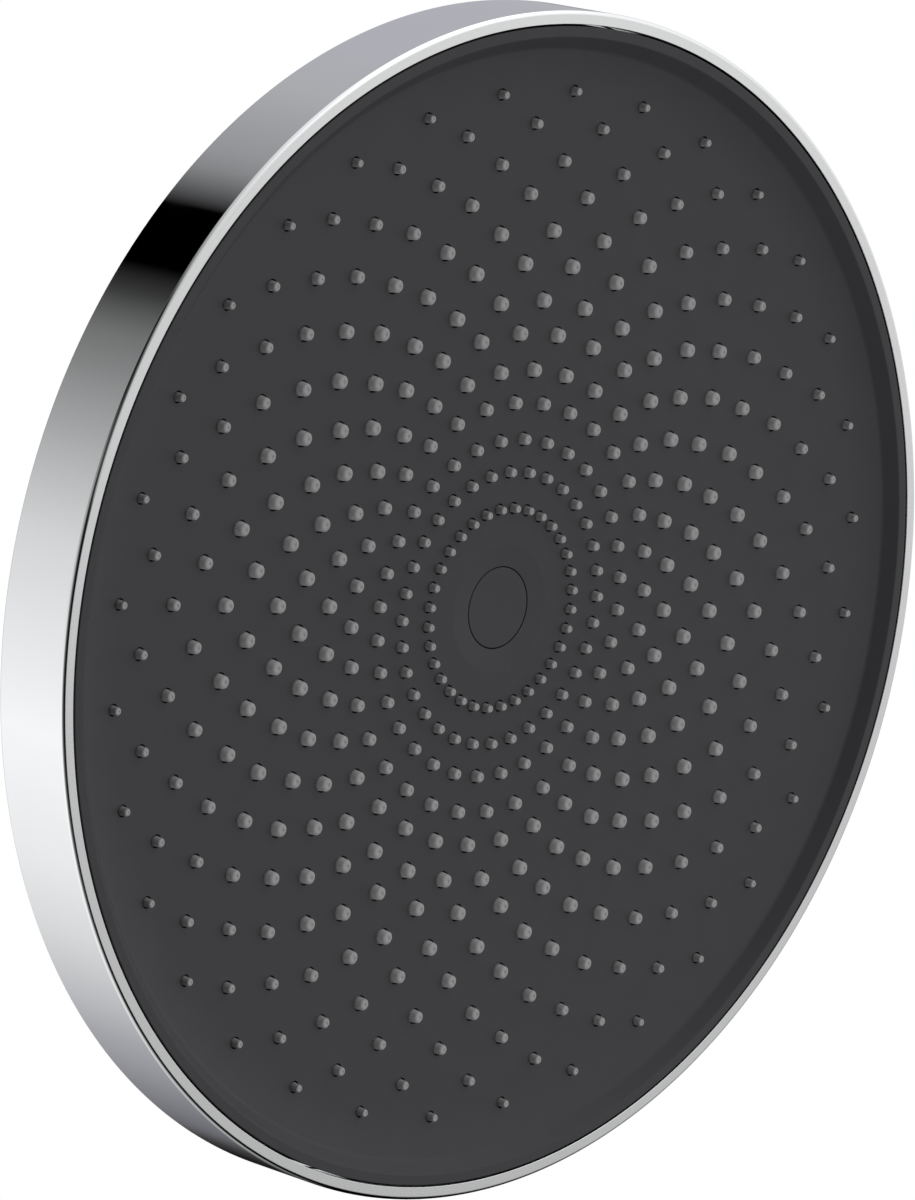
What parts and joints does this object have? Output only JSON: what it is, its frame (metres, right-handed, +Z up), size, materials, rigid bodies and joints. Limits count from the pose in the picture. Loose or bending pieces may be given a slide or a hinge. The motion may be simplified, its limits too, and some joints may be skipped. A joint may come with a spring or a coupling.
{
  "type": "rain shower head",
  "caption": "Large round rain shower head: chromed drum casing, dished dark spray plate with rings of soft nozzles, and a ball joint with a threaded inlet nut behind.",
  "frame": {"origin": "centre of the mouth of the inlet thread, on the axis of the union nut", "axes": "+Z up along the inlet axis towards the shower arm, the spray plate faces -Z, +X along the axis that the head tilts about"},
  "size_m": [0.36, 0.36, 0.0869],
  "materials": {
    "chrome": "polished chrome plate",
    "graphite_plastic": "fine matt graphite grey",
    "grey_silicone": "soft satin mid grey",
    "chamber_plastic": "plain dark moulding",
    "black_rubber": "smooth black",
    "white_acetal": "smooth off-white",
    "steel": "plain stainless",
    "limiter_plastic": "plain blue-grey"
  },
  "bodies": {
    "inlet": {"union_nut": "chrome"},
    "stem": {"ball_stem": "chrome", "snap_ring": "steel", "inlet_washer": "black_rubber", "strainer": "steel", "flow_limiter": "limiter_plastic", "limiter_ring": "black_rubber"},
    "head": {"casing": "chrome", "hub_nut": "chrome", "retaining_collar": "chrome", "spray_plate": "graphite_plastic", "centre_cap": "graphite_plastic", "nozzles": "grey_silicone", "chamber_cover": "chamber_plastic", "post_seal": "black_rubber", "casing_washer": "black_rubber", "ball_seal": "black_rubber", "ball_seat": "white_acetal", "friction_ring": "white_acetal", "centre_screw": "steel"}
  },
  "joints": [
    {"name": "stem_swivel", "type": "hinge", "parent": "inlet", "child": "stem", "pos_m": [0, 0, -0.0165], "axis": [0, 0, 1], "continuous": true},
    {"name": "head_tilt", "type": "hinge", "parent": "stem", "child": "head", "pos_m": [0, 0, -0.0385], "axis": [1, 0, 0], "range_deg": [-15, 15]}
  ]
}
